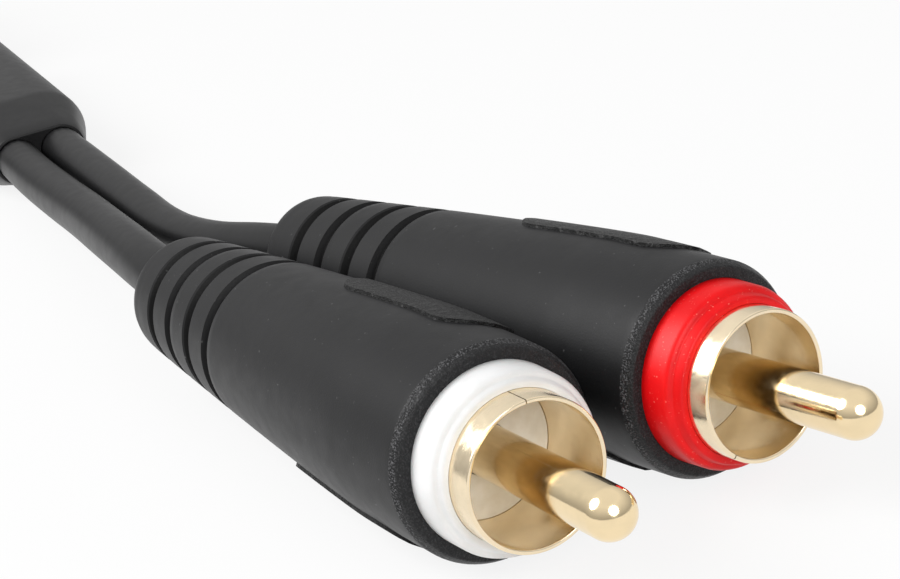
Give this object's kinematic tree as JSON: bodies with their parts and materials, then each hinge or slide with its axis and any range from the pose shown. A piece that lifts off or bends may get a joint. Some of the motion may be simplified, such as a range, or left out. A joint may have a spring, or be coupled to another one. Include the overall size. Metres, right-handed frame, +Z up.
{
  "type": "stereo phono audio cable",
  "caption": "Stereo phono cable with white and red moulded plugs, twin leads through moulded sleeves, and its spare length in a tied hank.",
  "frame": {"origin": "on the surface that the cable lies on, below the middle of the near white grip's raised pads", "axes": "+X along the near white plug towards its pin, +Y to the plug's left, towards the near red plug, +Z up"},
  "size_m": [0.4199, 0.0315, 0.0146],
  "materials": {
    "grip_black": "matte moulded, fine grain",
    "jacket_black": "satin soft jacket",
    "collar_white": "smooth moulded",
    "collar_red": "smooth moulded with fine specks",
    "gold_plate": "bright pale gold plating",
    "insulator_ivory": "satin off-white",
    "bare_copper": "bare drawn wire",
    "core_white": "smooth foamed insulation",
    "tie_black": "woven hook-and-loop strap"
  },
  "bodies": {
    "root": {"white_grip": "grip_black", "white_collar": "collar_white", "white_shell": "gold_plate", "white_insulator": "insulator_ivory", "white_pin": "gold_plate", "white_jacket_end": "jacket_black", "white_shield_braid": "bare_copper", "white_core_insulation": "core_white", "white_core_wire": "bare_copper", "red_grip": "grip_black", "red_collar": "collar_red", "red_shell": "gold_plate", "red_insulator": "insulator_ivory", "red_pin": "gold_plate", "red_jacket_end": "jacket_black", "red_shield_braid": "bare_copper", "red_core_insulation": "core_white", "red_core_wire": "bare_copper", "far_white_grip": "grip_black", "far_white_collar": "collar_white", "far_white_shell": "gold_plate", "far_white_insulator": "insulator_ivory", "far_white_pin": "gold_plate", "far_white_jacket_end": "jacket_black", "far_white_shield_braid": "bare_copper", "far_white_core_insulation": "core_white", "far_white_core_wire": "bare_copper", "far_red_grip": "grip_black", "far_red_collar": "collar_red", "far_red_shell": "gold_plate", "far_red_insulator": "insulator_ivory", "far_red_pin": "gold_plate", "far_red_jacket_end": "jacket_black", "far_red_shield_braid": "bare_copper", "far_red_core_insulation": "core_white", "far_red_core_wire": "bare_copper", "near_sleeve": "jacket_black", "far_sleeve": "jacket_black", "white_lead": "jacket_black", "red_lead": "jacket_black", "far_white_lead": "jacket_black", "far_red_lead": "jacket_black", "lead_hank": "jacket_black", "hank_tie": "tie_black"}
  },
  "joints": []
}
